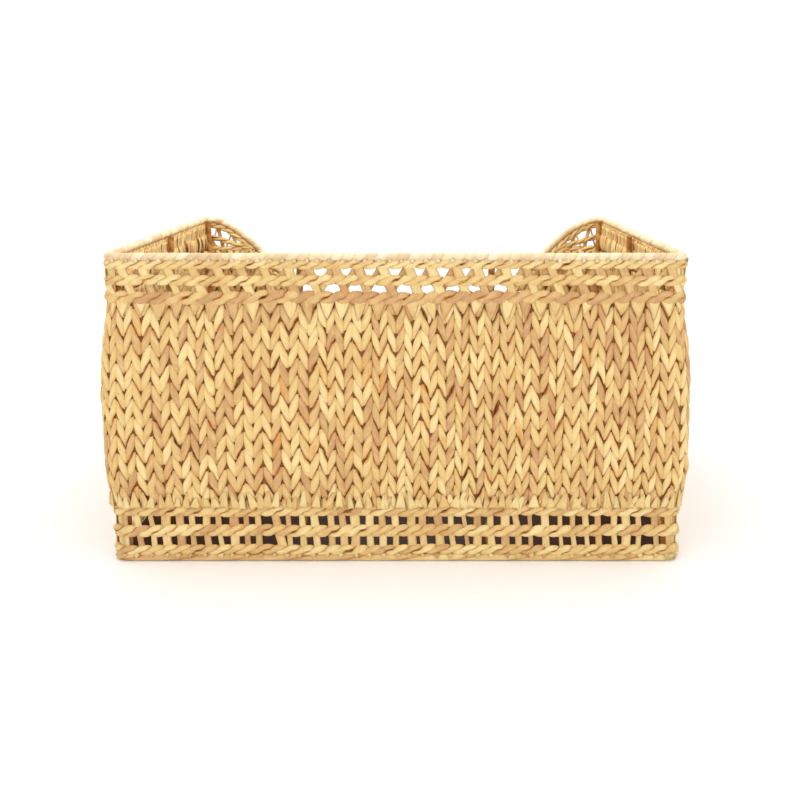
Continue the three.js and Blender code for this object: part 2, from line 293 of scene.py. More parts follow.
class Track:
    """A line in space with two directions across it: side and out."""

    def __init__(self, points, side, out):
        steps = np.linalg.norm(np.diff(points, axis=0), axis=1)
        self.at = np.concatenate([[0.0], np.cumsum(steps)])
        self.length = self.at[-1]
        self.columns = np.hstack([points, side, out])

    def __call__(self, s):
        values = [np.interp(s, self.at, column) for column in self.columns.T]
        values = np.stack(values, axis=-1)
        return values[..., 0:3], values[..., 3:6], values[..., 6:9]


def loop_track(first, last, height, out=0.0):
    """A track round the loop at a height, which may be a function of the distance."""
    s = np.arange(first, last, 0.5)
    s = np.append(s, last)
    points, normals = loop_frame(s, out)
    points[:, 2] = height(s) if callable(height) else height
    return Track(points, np.broadcast_to(UP, points.shape), normals)


def scoop_track(distance, out=0.0):
    """A track along the scooped wall, between its corner diagonals, a distance under the rim's line."""
    first, last = wall_span("scooped")
    lead, normals = loop_frame(np.linspace(first, first + TURN_LENGTH / 2, 12), out)
    tail, tail_normals = loop_frame(np.linspace(last - TURN_LENGTH / 2, last, 12), out)
    lead[:, 2] = tail[:, 2] = RIM_Z - distance
    x, z = under_rim(distance, np.linspace(CORNER_X, -CORNER_X, 700))
    middle = np.stack([x, np.full_like(x, ROD_Y + out), z], axis=-1)
    wall_normals = np.tile([0.0, 1.0, 0.0], (len(x), 1))
    points = np.vstack([lead[:-1], middle, tail[1:]])
    outward = np.vstack([normals[:-1], wall_normals, tail_normals[1:]])
    side = np.cross(outward, np.gradient(points, axis=0))
    side /= np.linalg.norm(side, axis=1)[:, None]
    return Track(points, side, outward)


# --- Strands and blades --------------------------------------------------------------------------


def skin(rings, across, along, tone, hue):
    """A closed part from rings of points, with the leaf's own coordinates and its random tone."""
    count, around = rings.shape[:2]
    index = np.arange(count * around).reshape(count, around)
    here, after = index[:-1], index[1:]
    quads = np.stack([here, np.roll(here, -1, 1), np.roll(after, -1, 1), after], axis=-1).reshape(-1, 4)
    ends = [index[0][::-1], index[-1]]
    points = rings.reshape(-1, 3)
    corners = points[quads]
    middle = points.mean(axis=0)
    diagonals = np.cross(corners[:, 2] - corners[:, 0], corners[:, 3] - corners[:, 1])
    facing = np.einsum("ij,ij->", diagonals, corners.mean(axis=1) - middle)
    if facing < 0:
        quads = quads[:, ::-1]
        ends = [end[::-1] for end in ends]
    shape = (count, around)
    return {
        "points": points,
        "faces": quads.tolist() + [end.tolist() for end in ends],
        "uv": np.stack([np.broadcast_to(across, shape), np.broadcast_to(along, shape)], -1).reshape(-1, 2),
        "tone": np.broadcast_to(np.asarray(tone)[..., None], shape).reshape(-1),
        "hue": np.broadcast_to(np.asarray(hue)[..., None], shape).reshape(-1),
    }


# Cross-section of a strand: positions across it, from edge to edge over the outside and back inside.
OVER = np.array([-1.0, -0.86, -0.62, -0.3, 0.0, 0.3, 0.62, 0.86, 1.0])
BACK = np.array([0.7, 0.0, -0.7])
ACROSS = np.concatenate([OVER, BACK])
EDGE_POWER = 2.6  # how late the section falls away towards its edges
THINNEST = 0.35  # least share of the reach at an edge
END_TAPER = 0.3
OVERRUN = 1.4  # half widths by which a strand is laid past its track's ends
PLAIN_CROSSING = 0.6  # how far over the face a pass has its plain width


def strand(track, turn, radii, hand, start, rng, strands=2, ease=0.1, crease=0.36, core=0.45,
           steps=8, width=1.1, belly=0.4, uneven=1.0, odd=0.08, tones=(0.0, 1.0)):
    """One strand of a rope twisted round a track.

    turn is the length of a full turn, radii the rope's reach to the side and outwards, hand +1 or -1 the
    sense of the twist and start its phase at the track's beginning. ease slows the twist where the
    strand crosses the face, so that its passes lie more along the track. crease is how far the section
    falls at its edges, core the reach of its inner side, and width the section's width against the room
    it has. belly is how much wider a pass is in its middle than at its ends. Each pass over a face is one
    visible leaf, with its own width, height, place and tone: uneven scales how much they differ, odd is
    the share of odd ones and tones the range the tone is drawn from.
    """
    half = turn / strands / 2 * width
    reach = half * OVERRUN
    s = np.arange(-reach, track.length + reach, turn / (2 * steps))
    turned = 2 * math.pi * s / turn + start
    phi = hand * (turned + ease * np.sin(2 * turned))
    number = np.floor(turned / math.pi).astype(int)
    number -= number.min()
    count = number.max() + 1
    crossing = np.sin(turned) ** 2
    strange = rng.random(count) < odd
    wide = rng.normal(0, WIDTH_SPREAD, count) + np.where(strange, rng.uniform(*ODD_WIDTHS, count), 0)
    high = rng.normal(0, HEIGHT_SPREAD, count) + np.where(strange, rng.uniform(*ODD_HEIGHTS, count), 0)
    place = rng.normal(0, PLACE_SPREAD * turn, count)
    sway = rng.normal(0, SWAY_SPREAD * radii[0], count)
    tone = rng.uniform(*tones, count)
    hue = rng.random(count)
    spread = 1 + belly * (crossing - PLAIN_CROSSING) + uneven * wide[number] * crossing
    height = 1 + uneven * high[number] * crossing
    shift = uneven * place[number] * crossing
    to_edge = ACROSS * (width * spread)[:, None]  # -1 and 1 where neighbouring passes meet
    rho = np.maximum(1 - crease * np.abs(to_edge) ** EDGE_POWER, THINNEST)
    rho[:, len(OVER):] = core
    at = s[:, None] + shift[:, None] + ACROSS * half * spread[:, None]
    past_end = np.abs(at - np.clip(at, 0, track.length))
    rho = rho * (1 - END_TAPER * smooth(past_end, 0, half / 2))
    centre, side, out = track(np.clip(at, 0, track.length))
    to_side = radii[0] * rho * (height * np.cos(phi))[:, None]
    to_side = to_side + (uneven * sway[number] * crossing)[:, None]
    to_out = radii[1] * rho * (height * np.sin(phi))[:, None]
    rings = centre + to_side[..., None] * side + to_out[..., None] * out
    return skin(rings, (to_edge + 1) / 2, (s / 10)[:, None], tone[number], hue[number])


def rope(track, turn, radii, hand, start, rng, **looks):
    """Two strands twisted together."""
    return [
        strand(track, turn, radii, hand, start + i * math.pi, rng, **looks)
        for i in range(2)
    ]


SHADE_HUE = 2.0  # hue that marks the strands inside the weave, which are painted dark as the shade in the gaps between leaves. All others have a hue from 0 to 1.

# Cross-section of a blade, as shares of its half width and its thickness.
BLADE_ACROSS = np.array([-1.0, -0.8, -0.45, -0.12, 0.2, 0.5, 0.82, 1.0, 0.7, 0.0, -0.7])
BLADE_HEIGHT = np.array([0.25, 0.8, 1.0, 0.72, 1.0, 0.78, 0.85, 0.25, 0.0, 0.0, 0.0])
FOLD_SPREAD = (0.85, 1.15)
FIBRE_OFFSET = 50  # how far apart two blades' fibre patterns can start


def blade(line, out, widths, thickness, rng, hue=None, tones=(0.0, 1.0)):
    """A flat strip of leaf along a line of points, with lengthwise folds. out is the way its face looks."""
    line = np.asarray(line, dtype=float)
    along = np.gradient(line, axis=0)
    side = np.cross(along, out)
    side /= np.linalg.norm(side, axis=1)[:, None]
    folds = BLADE_HEIGHT * rng.uniform(*FOLD_SPREAD, len(BLADE_HEIGHT))
    rings = (
        line[:, None]
        + (BLADE_ACROSS * np.asarray(widths)[:, None] / 2)[..., None] * side[:, None]
        + (folds * thickness)[None, :, None] * np.asarray(out)
    )
    lengths = np.concatenate([[0], np.cumsum(np.linalg.norm(np.diff(line, axis=0), axis=1))])
    first = rng.uniform(0, FIBRE_OFFSET)
    tone = np.full(len(line), rng.uniform(*tones))
    hues = np.full(len(line), rng.random() if hue is None else hue)
    return skin(rings, (BLADE_ACROSS + 1) / 2, first + (lengths / 10)[:, None], tone, hues)


# --- Pieces --------------------------------------------------------------------------------------


def make_piece(name, parts, material, slot, *nodes):
    """One object from many closed parts. It rides on the root body and stands for the named CAD nodes."""
    points, faces, offset = [], [], 0
    for part in parts:
        points.append(part["points"])
        faces += [[i + offset for i in face] for face in part["faces"]]
        offset += len(part["points"])
    mesh = bpy.data.meshes.new(name)
    mesh.from_pydata(np.vstack(points) * MM, [], faces)
    corner = np.empty(len(mesh.loops), dtype=np.int32)
    mesh.loops.foreach_get("vertex_index", corner)
    layer = mesh.uv_layers.new(name="fibre")
    leaf_places = np.vstack([part["uv"] for part in parts])[corner]
    layer.data.foreach_set("uv", leaf_places.astype(np.float32).ravel())
    for key in ("tone", "hue"):
        values = np.concatenate([part[key] for part in parts]).astype(np.float32)
        mesh.attributes.new(key, "FLOAT", "POINT").data.foreach_set("value", values)
    mesh.polygons.foreach_set("use_smooth", np.ones(len(mesh.polygons), dtype=bool))
    mesh.materials.append(material)
    piece = bpy.data.objects.new(name, mesh)
    bpy.context.scene.collection.objects.link(piece)
    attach(piece, ROOT)
    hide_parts(*nodes)


# --- Materials -----------------------------------------------------------------------------------


def linear(red, green, blue):
    """A colour given in 0 to 255 sRGB, as a linear RGBA tuple."""
    def channel(value):
        value /= 255
        return value / 12.92 if value <= 0.04045 else ((value + 0.055) / 1.055) ** 2.4

    return channel(red), channel(green), channel(blue), 1.0


class Nodes:
    """Short calls for building a material's node tree."""

    def __init__(self, name):
        self.material = bpy.data.materials.new(name)
        self.material.use_nodes = True
        self.tree = self.material.node_tree
        self.tree.nodes.clear()
        self.output = self.add("ShaderNodeOutputMaterial")
        self.shader = self.add("ShaderNodeBsdfPrincipled")
        self.tree.links.new(self.shader.outputs["BSDF"], self.output.inputs["Surface"])

    def add(self, kind, **settings):
        node = self.tree.nodes.new(kind)
        for key, value in settings.items():
            setattr(node, key, value)
        return node

    def put(self, socket, value):
        if isinstance(value, bpy.types.NodeSocket):
            self.tree.links.new(value, socket)
        else:
            socket.default_value = value

    def math(self, operation, first, second=0.0, clamp=False):
        node = self.add("ShaderNodeMath", operation=operation, use_clamp=clamp)
        self.put(node.inputs[0], first)
        self.put(node.inputs[1], second)
        return node.outputs[0]

    def span(self, value, low, high, to_low=0.0, to_high=1.0):
        """value taken smoothly from low..high to to_low..to_high."""
        node = self.add("ShaderNodeMapRange", interpolation_type="SMOOTHSTEP")
        for socket, number in zip(node.inputs, (value, low, high, to_low, to_high)):
            self.put(socket, number)
        return node.outputs[0]

    def noise(self, vector, scale, detail=2.0, rough=0.5):
        node = self.add("ShaderNodeTexNoise")
        self.put(node.inputs["Vector"], vector)
        self.put(node.inputs["Scale"], scale)
        self.put(node.inputs["Detail"], detail)
        self.put(node.inputs["Roughness"], rough)
        return node.outputs["Fac"]

    def vector(self, x, y, z):
        node = self.add("ShaderNodeCombineXYZ")
        for socket, value in zip(node.inputs, (x, y, z)):
            self.put(socket, value)
        return node.outputs[0]

    def ramp(self, value, stops):
        node = self.add("ShaderNodeValToRGB")
        elements = node.color_ramp.elements
        while len(elements) < len(stops):
            elements.new(0.5)
        for element, (position, colour) in zip(elements, stops):
            element.position = position
            element.color = colour
        self.put(node.inputs[0], value)
        return node.outputs["Color"]

    def mix(self, factor, first, second):
        node = self.add("ShaderNodeMix", data_type="RGBA")
        colours = [socket for socket in node.inputs if socket.type == "RGBA"]
        self.put(node.inputs[0], factor)
        self.put(colours[0], first)
        self.put(colours[1], second)
        return [socket for socket in node.outputs if socket.type == "RGBA"][0]

    def bump(self, height, distance, strength):
        node = self.add("ShaderNodeBump")
        self.put(node.inputs["Strength"], strength)
        self.put(node.inputs["Distance"], distance)
        self.put(node.inputs["Height"], height)
        self.put(self.shader.inputs["Normal"], node.outputs[0])

    def attribute(self, name):
        return self.add("ShaderNodeAttribute", attribute_name=name).outputs["Fac"]


WEAVE_TONES = [
    (0.00, linear(200, 156, 108)),
    (0.15, linear(212, 173, 118)),
    (0.40, linear(223, 188, 126)),
    (0.70, linear(231, 201, 137)),
    (1.00, linear(240, 217, 157)),
]
PALE_TONES = [
    (0.00, linear(218, 190, 150)),
    (0.30, linear(232, 209, 168)),
    (0.65, linear(239, 220, 182)),
    (1.00, linear(245, 230, 202)),
]
BROWN_TONES = [
    (0.00, linear(170, 114, 60)),
    (0.40, linear(196, 140, 80)),
    (0.80, linear(216, 166, 104)),
    (1.00, linear(180, 118, 60)),
]
# Painted shade: the colours that darken each pass towards its edges and in the crease where it meets the
# next.
WEAVE_CREASE_SHADE = linear(176, 96, 28)
PALE_CREASE_SHADE = linear(212, 166, 108)
BROWN_CREASE_SHADE = linear(122, 70, 32)
RIPE_LEAF = linear(218, 150, 72)
# painted shade on the strands inside the weave
WARP_SHADE = linear(138, 80, 36)
DULL_FIBRE = linear(208, 156, 92)
# painted highlight along the lighter fibre streaks
FIBRE_HIGHLIGHT = linear(252, 228, 174)
VEIN = linear(178, 120, 66)
STAIN = linear(214, 140, 62)
SPECK = linear(128, 78, 38)
SOFT_CREASE_SHADE = 0.35  # share of the painted crease shade in the wide soft zone beside the crease, where it paints the shading of the pass's rounded sides
PATTERN_STEP = 71.0  # spreads the hues so far that no two passes share a pattern


def leaf_material(name, tones, crease, crease_shade_share):
    """Dried leaf: a tone for each visible pass, lengthwise fibres with painted highlights, stains and
    specks, painted shade towards each pass's edges (crease is its colour), and painted shade on the strands
    inside the weave.
    """
    n = Nodes(name)
    leaf = n.add("ShaderNodeUVMap", uv_map="fibre").outputs[0]
    parts = n.add("ShaderNodeSeparateXYZ")
    n.put(parts.inputs[0], leaf)
    across, along = parts.outputs[0], parts.outputs[1]
    tone, hue = n.attribute("tone"), n.attribute("hue")
    own = n.math("MULTIPLY", hue, PATTERN_STEP)
    place = n.add("ShaderNodeTexCoord").outputs["Object"]

    def streaks(wide, long, detail=2.0, rough=0.5):
        """A pattern in the leaf's own coordinates, different on each pass."""
        spot = n.vector(n.math("MULTIPLY", across, wide), n.math("MULTIPLY", along, long), own)
        return n.noise(spot, 1.0, detail, rough)

    fibre = streaks(13.0, 0.9, 3.0, 0.6)
    vein = streaks(30.0, 1.6)
    patch = streaks(2.2, 1.5)

    shade = n.math("ADD", tone, n.span(patch, 0.3, 0.7, -0.14, 0.14), clamp=True)
    colour = n.ramp(shade, tones)
    ripe = n.math("MULTIPLY", n.span(hue, 0.965, 0.985), n.span(patch, 0.42, 0.62, 0.1, 0.75))
    colour = n.mix(ripe, colour, RIPE_LEAF)
    # Strands with the shade hue are painted dark brown, as the shade deep inside the weave.
    colour = n.mix(n.span(hue, 1.2, 1.6), colour, WARP_SHADE)
    colour = n.mix(n.span(fibre, 0.52, 0.72, 0.0, 0.32), colour, DULL_FIBRE)
    # Painted highlight along some fibre streaks.
    colour = n.mix(n.span(fibre, 0.30, 0.46, 0.34, 0.0), colour, FIBRE_HIGHLIGHT)
    colour = n.mix(n.span(vein, 0.60, 0.74, 0.0, 0.32), colour, VEIN)

    stain = n.noise(place, 26.0, 2.0)
    colour = n.mix(n.span(stain, 0.62, 0.78, 0.0, 0.22), colour, STAIN)

    # Painted shade: darker towards the pass's edges, softly over its rounded sides and strongly in the thin
    # crease where passes meet.
    edge = n.math("ABSOLUTE", n.math("SUBTRACT", n.math("MULTIPLY", across, 2.0), 1.0))
    crease_shade_mask = n.math("ADD", edge, n.span(vein, 0.3, 0.7, -0.07, 0.07))
    colour = n.mix(n.span(crease_shade_mask, 0.45, 1.05, 0.0, crease_shade_share * SOFT_CREASE_SHADE), colour, crease)
    colour = n.mix(n.span(crease_shade_mask, 0.86, 1.06, 0.0, crease_shade_share), colour, crease)

    speck = n.noise(place, 900.0, 0.0)
    colour = n.mix(n.span(speck, 0.83, 0.86, 0.0, 0.7), colour, SPECK)
    n.put(n.shader.inputs["Base Color"], colour)
    n.put(n.shader.inputs["Roughness"], n.span(fibre, 0.3, 0.7, 0.44, 0.66))
    n.shader.inputs["Specular IOR Level"].default_value = 0.1
    relief = n.math("ADD", fibre, n.math("MULTIPLY", vein, 0.5))
    n.bump(relief, 0.0009, 0.55)
    return n.material


def board_material():
    """Dark stained board with a long grain and a soft sheen, with grey-lilac patches painted on as the
    sheen's reflection.
    """
    n = Nodes("stained_board")
    place = n.add("ShaderNodeTexCoord").outputs["Object"]
    parts = n.add("ShaderNodeSeparateXYZ")
    n.put(parts.inputs[0], place)
    grain_place = n.vector(
        n.math("MULTIPLY", parts.outputs[0], 6.0),
        n.math("MULTIPLY", parts.outputs[1], 150.0),
        parts.outputs[2],
    )
    grain = n.noise(grain_place, 1.0, 4.0, 0.6)
    sheen_cloud = n.noise(place, 14.0, 3.0)
    colour = n.ramp(grain, [(0.3, linear(30, 12, 6)), (0.7, linear(56, 28, 20))])
    # Painted reflection: grey-lilac patches where the board's sheen catches the light.
    colour = n.mix(n.span(sheen_cloud, 0.5, 0.72, 0.0, 0.45), colour, linear(74, 58, 62))
    n.put(n.shader.inputs["Base Color"], colour)
    n.put(n.shader.inputs["Roughness"], n.span(sheen_cloud, 0.3, 0.7, 0.4, 0.55))
    n.shader.inputs["Specular IOR Level"].default_value = 0.15
    n.bump(grain, 0.0004, 0.4)
    return n.material


def iron_material():
    """Black painted wire, worn in places."""
    n = Nodes("painted_iron")
    place = n.add("ShaderNodeTexCoord").outputs["Object"]
    wear = n.noise(place, 160.0, 3.0)
    colour = n.mix(n.span(wear, 0.62, 0.72, 0.0, 0.8), linear(34, 32, 31), linear(104, 70, 52))
    n.put(n.shader.inputs["Base Color"], colour)
    n.put(n.shader.inputs["Roughness"], n.span(wear, 0.3, 0.7, 0.35, 0.6))
    n.shader.inputs["Metallic"].default_value = 0.4
    n.bump(wear, 0.0003, 0.4)
    return n.material


weave = leaf_material("hyacinth_weave", WEAVE_TONES, WEAVE_CREASE_SHADE, 0.7)
pale = leaf_material("hyacinth_rim", PALE_TONES, PALE_CREASE_SHADE, 0.45)
brown = leaf_material("hyacinth_brown", BROWN_TONES, BROWN_CREASE_SHADE, 0.7)
board = board_material()
iron = iron_material()


# --- Dense panels --------------------------------------------------------------------------------


def bulge(z, top):
    """How far the columns stand out of the rods' plane: most at mid height, and a little in at the top."""
    swell = BULGE * smooth(z, *BULGE_RISE) * smooth(top - z, *BULGE_FALL)
    return swell - TOP_INSET * smooth(z, top - INSET_HEIGHT, top)


def column_top(wall, s):
    """Height at which a column ends: under the top band, or under the scooped rim's border row."""
    if wall != "scooped":
        return COLUMN_HEAD
    x = abs(loop_frame(np.array([s]))[0][0, 0])
    line = under_rim(BORDER_GAP, np.linspace(0, CORNER_X + 8, 500))
    return min(COLUMN_HEAD, np.interp(x, *line))


def column_track(s, top, rng):
    """An upright track at distance s round the loop, with a slight wander."""
    z = np.linspace(COLUMN_FOOT, top, 60)
    wander = COLUMN_WANDER * np.sin(z / rng.uniform(16, 30) + rng.uniform(*ANY_PHASE))
    points, normals = loop_frame(np.full_like(z, s) + wander, bulge(z, top) - 0.15)
    points[:, 2] = z
    side = np.cross(UP, normals)
    return Track(points, side, normals)


def column_places(wall, rng):
    """Middles and widths of a wall's columns, round the loop. Some are wider than others."""
    start, length = wall_start(wall), WALL_LENGTHS[wall]
    count = round(length / COLUMN_PITCH)
    widening = COLUMN_WIDENING * np.cos(np.linspace(0, math.pi, count))
    widths = 1 + widening + rng.normal(0, COLUMN_SPREAD, count)
    widths *= length / widths.sum()
    ends = np.cumsum(widths)
    return start + ends - widths / 2, widths


def column_ropes(s, width, reach, top, phase, rng):
    """The two ropes of a column. Their leaves meet in downward points along its middle.

    width is the column's share of the rods' loop, and reach half of a rope's width.
    """
    radii = (reach, COLUMN_DEPTH)
    ropes = []
    for hand, offset in ((1, -width / 4), (-1, width / 4)):
        track = column_track(s + offset, top, rng)
        turn = COLUMN_TURN * rng.normal(1, 0.01)
        start = 2 * math.pi * phase / COLUMN_TURN + rng.normal(0, 0.22)
        if hand < 0:
            start = start + math.pi
        ropes.append(rope(track, turn, radii, hand, start, rng, **COLUMN_LOOKS))
    return ropes


def hidden_warps(s, width, top, rng):
    """Flat strands behind a column's left seam and its middle, which close the gaps between leaves; they
    are painted dark as the shade in those gaps.
    """
    strips = []
    z = np.linspace(COLUMN_FOOT, top, 24)
    for place in (-width / 2, 0):
        points, normals = loop_frame(np.full_like(z, s + place), bulge(z, top) - WARP_DEPTH)
        points[:, 2] = z
        widths = np.full_like(z, WARP_WIDTH)
        strips.append(blade(points, normals[0], widths, WARP_THICKNESS, rng, hue=SHADE_HUE))
    return strips


def top_leaf(s, top, rng):
    """A short flat leaf that closes a column under the top band, pointing down."""
    length = rng.uniform(*TOP_LEAF_LENGTHS)
    z = np.linspace(top + 1, top - length, 9)
    fall = np.linspace(0, 1, 9)
    widths = rng.uniform(*TOP_LEAF_WIDTHS) * (1 - fall ** rng.uniform(1.1, 2.0)) + 0.5
    out = bulge(z, top) + TOP_LEAF_OUT + 0.7 * np.sin(fall * math.pi)
    lean = rng.normal(0, 1.2) * fall
    points, normals = loop_frame(np.full(9, s + rng.normal(0, 0.6)) + lean, out)
    points[:, 2] = z
    return blade(points, normals[0], widths, LEAF_THICKNESS, rng)


def bottom_ends(s, width, rng):
    """The trimmed ends of a column's strands, fanned and standing a little proud above the bottom band."""
    ends = []
    narrowing = min(1, 0.3 + width / COLUMN_PITCH)
    for place in END_PLACES:
        top = PANEL_LOW + rng.uniform(*END_TOPS)
        foot = PANEL_LOW + rng.uniform(*END_FEET)
        z = np.linspace(top, foot, 6)
        fall = np.linspace(0, 1, 6)
        widths = (rng.uniform(*END_WIDTHS) + rng.uniform(*END_FLARES) * fall) * narrowing
        lean = rng.normal(0, 0.17) * width * fall
        at = s + (place + rng.normal(0, 0.06)) * width
        out = bulge(z, PANEL_HIGH) + END_OUT + rng.uniform(0.4, 1.8) * fall
        points, normals = loop_frame(at + lean, out)
        points[:, 2] = z
        ends.append(blade(points, normals[0], widths, LEAF_THICKNESS, rng, tones=END_TONES))
    return ends


def phases(count, rng):
    """Heights at which neighbouring columns start their leaves: nearly in step, drifting a little."""
    drift = np.cumsum(rng.normal(0, PHASE_DRIFT, count))
    drift -= np.linspace(drift[0], drift[-1], count)
    return drift + rng.normal(0, PHASE_SPREAD, count)


def build_panel(wall, seed):
    """A wall's dense columns, with the leaves that close them at the top and the trimmed ends below."""
    rng = np.random.default_rng(seed)
    places, widths = column_places(wall, rng)
    left, right, warps, leaves, ends = [], [], [], [], []
    for s, width, phase in zip(places, widths, phases(len(places), rng)):
        top = column_top(wall, s)
        first, second = column_ropes(s, width, width / 4 * ROPE_OVERLAP, top, phase, rng)
        left += first
        right += second
        warps += hidden_warps(s, width, top, rng)
        leaves.append(top_leaf(s, top, rng))
        ends += bottom_ends(s, width, rng)
    node = f"woven_panel_{wall}"
    make_piece(f"{wall}_wall_left_leaves", left, weave, "woven_leaf", node)
    make_piece(f"{wall}_wall_right_leaves", right, weave, "woven_leaf", node)
    make_piece(f"{wall}_wall_ends", leaves + ends + warps, weave, "woven_leaf", node)


def build_corner(name, wall, seed):
    """The two columns that turn a corner after a wall's end, with the broad stakes above and below them."""
    rng = np.random.default_rng(seed)
    corner = wall_start(wall) + WALL_LENGTHS[wall]
    width = TURN_LENGTH / 2
    turn_outside = (TURN_R + BULGE) * math.pi / 2
    reach = turn_outside / 4 / 2 * CORNER_OVERLAP  # four ropes share the turn
    parts = []
    for place in (0.25, 0.75):
        at = corner + place * TURN_LENGTH
        first, second = column_ropes(at, width, reach, COLUMN_HEAD, rng.normal(0, 1), rng)
        parts += first + second + bottom_ends(at, width, rng)
    for at in corner + TURN_LENGTH * np.linspace(0, 1, 5):
        parts += hidden_warps(at, 0, COLUMN_HEAD, rng)[1:]  # without width the two lie in one place
    for rows in (TOP_ROWS, BOTTOM_ROWS[::-1]):
        for place in CORNER_STAKE_PLACES:
            for top, foot in zip(rows, rows[1:]):
                at = corner + TURN_LENGTH / 2 + place + rng.normal(0, 0.3)
                foot_at = at + rng.normal(0, 0.5)
                broad = rng.uniform(*CORNER_STAKE_WIDTHS)
                parts.append(stake(at, top, foot_at, foot, broad, CORNER_STAKE_OUT, rng))
    make_piece(f"corner_column_{name}", parts, weave, "woven_leaf", f"corner_turn_{name}")


# --- Openwork bands ------------------------------------------------------------------------------


def row_rope(first, last, z, passes, radii, out, sway, tones, rng):
    """A twined row along part of the loop."""
    waves = rng.uniform(*ANY_PHASE, 2)

    def height(s):
        slow = np.sin(s / ROW_WAVES[0] + waves[0])
        quick = np.sin(s / ROW_WAVES[1] + waves[1])
        return z + sway * (slow + 0.6 * quick)

    track = loop_track(first, last, height, out)
    turn = 2 * track.length / passes
    return rope(track, turn, radii, -1, 0.0, rng, tones=tones, **ROW_LOOKS)


def stake(s_top, z_top, s_foot, z_foot, width, out, rng, bow=0.5):
    """A flat stake between two rows."""
    share = np.linspace(0, 1, 6)
    s = s_top + (s_foot - s_top) * share
    points, normals = loop_frame(s, out + bow * np.sin(share * math.pi))
    points[:, 2] = z_top + (z_foot - z_top) * share
    widths = width * (1 - 0.14 * np.sin(share * math.pi) + rng.normal(0, 0.02, 6))
    return blade(points, normals[2], widths, STAKE_THICKNESS, rng)


def crossed_stakes(at, rng):
    """A pair of stakes that cross under the upper row: the front one leans right, the other left."""
    top, middle, low = TOP_ROWS
    front = rng.uniform(*FRONT_WIDTHS)
    behind = rng.uniform(*BACK_WIDTHS)
    sets = [(at, FRONT_LEAN, front, FRONT_OUT), (at + 0.6, BACK_LEAN, behind, BACK_OUT)]
    parts = []
    for start, lean, width, out in sets:
        lean += rng.normal(0, 0.9)
        half = start + lean * (top - middle) / (top - low)
        parts.append(stake(start, top, half, middle, width, out, rng))
        parts.append(stake(half, middle, start + lean, low, width * rng.uniform(0.85, 1.05), out, rng))
    return parts


def backing_leaves(at, rng):
    """Broad leaves behind the rows of a closed band."""
    top, middle, low = TOP_ROWS
    parts = []
    for start in (at - 6, at - 1.2):
        half = start + rng.normal(0, BACKING_WANDER)
        foot = half + rng.normal(0, BACKING_WANDER)
        out = rng.uniform(*BACKING_OUTS)
        width = rng.uniform(*BACKING_WIDTHS)
        parts.append(stake(start, top, half, middle - 2, width, out, rng))
        parts.append(stake(half, middle + 2, foot, low, width, out - 0.5, rng, bow=-1.2))
    return parts


def build_top_band(wall, seed):
    """The openwork under the rim. The short walls' bands are closed by a second layer."""
    rng = np.random.default_rng(seed)
    first, last = wall_span(wall)
    rows = []
    for z, length, radius, tones in zip(TOP_ROWS, TOP_ROW_PASSES, TOP_ROW_RADII, TOP_ROW_TONES):
        passes = round((last - first) / length)
        sway = 0.25 * radius - 0.65
        radii = (radius, TOP_ROW_DEPTH)
        rows += row_rope(first, last, z, passes, radii, TOP_ROW_OUT, sway, tones, rng)
    closed = wall != "straight"
    pitch = PAIR_PITCH * (CLOSED_SHARE if closed else 1)
    count = round((last - first) / pitch)
    stakes = []
    for i in range(count):
        at = first + (i + 0.5 + rng.normal(0, 0.05)) * (last - first) / count - 1
        stakes += crossed_stakes(at, rng)
        if closed:
            stakes += backing_leaves(at, rng)
    make_piece(f"{wall}_top_rows", rows, weave, "woven_leaf", f"top_band_{wall}")
    make_piece(f"{wall}_top_stakes", stakes, weave, "woven_leaf", f"top_band_{wall}")


def build_bottom_band(wall, seed):
    """The openwork above the base."""
    rng = np.random.default_rng(seed)
    first, last = wall_span(wall)
    count = round((last - first) / STAKE_PITCH)
    rows = []
    for z, radius in zip(BOTTOM_ROWS, BOTTOM_ROW_RADII):
        radii = (radius, BOTTOM_ROW_DEPTH)
        rows += row_rope(
            first, last, z, count, radii, BOTTOM_ROW_OUT, BOTTOM_ROW_SWAY, BOTTOM_ROW_TONES, rng,
        )
    stakes = []
    low, middle, top = BOTTOM_ROWS
    for i in range(count):
        at = first + (i + 0.5 + rng.normal(0, 0.09)) * (last - first) / count
        width = np.clip(rng.normal(STAKE_WIDTH, STAKE_WIDTH_SPREAD), *UPPER_STAKE_RANGE)
        lean = rng.normal(STAKE_LEAN, 0.9)
        half = at + lean / 2
        stakes.append(stake(at - lean / 2, top, half, middle, width, STAKE_OUT, rng))
        width = np.clip(width + rng.normal(0, 0.8), *LOWER_STAKE_RANGE)
        shift = rng.normal(STAKE_LEAN, 0.7)
        stakes.append(stake(half, middle, half + shift, low, width, STAKE_OUT, rng))
    make_piece(f"{wall}_bottom_rows", rows, weave, "woven_leaf", f"bottom_band_{wall}")
    make_piece(f"{wall}_bottom_stakes", stakes, weave, "woven_leaf", f"bottom_band_{wall}")


def shoulder_rows(middle, flip, line_x, line_z, rng):
    """The two short rows on a shoulder, from the corner to where they meet the border row."""
    rows = []
    sizes = zip(TOP_ROWS[1:], SHOULDER_SLOPES, TOP_ROW_PASSES[1:], SHOULDER_ROW_RADII)
    for z, slope, pass_length, radius in sizes:
        def height(s):
            return z - slope * np.maximum(CORNER_X - np.abs(s - middle), 0)

        reach = line_x[np.argmax(line_z > z - slope * (CORNER_X - line_x))]
        ends = sorted(middle - flip * np.array([reach, CORNER_X + TURN_LENGTH / 2]))
        count = max(2, round((ends[1] - ends[0]) / pass_length))
        track = loop_track(ends[0], ends[1], height, SHOULDER_OUT)
        turn = 2 * track.length / count
        radii = (radius, TOP_ROW_DEPTH)
        rows += rope(track, turn, radii, -1, 0.0, rng, tones=SHOULDER_ROW_TONES, **ROW_LOOKS)
    return rows


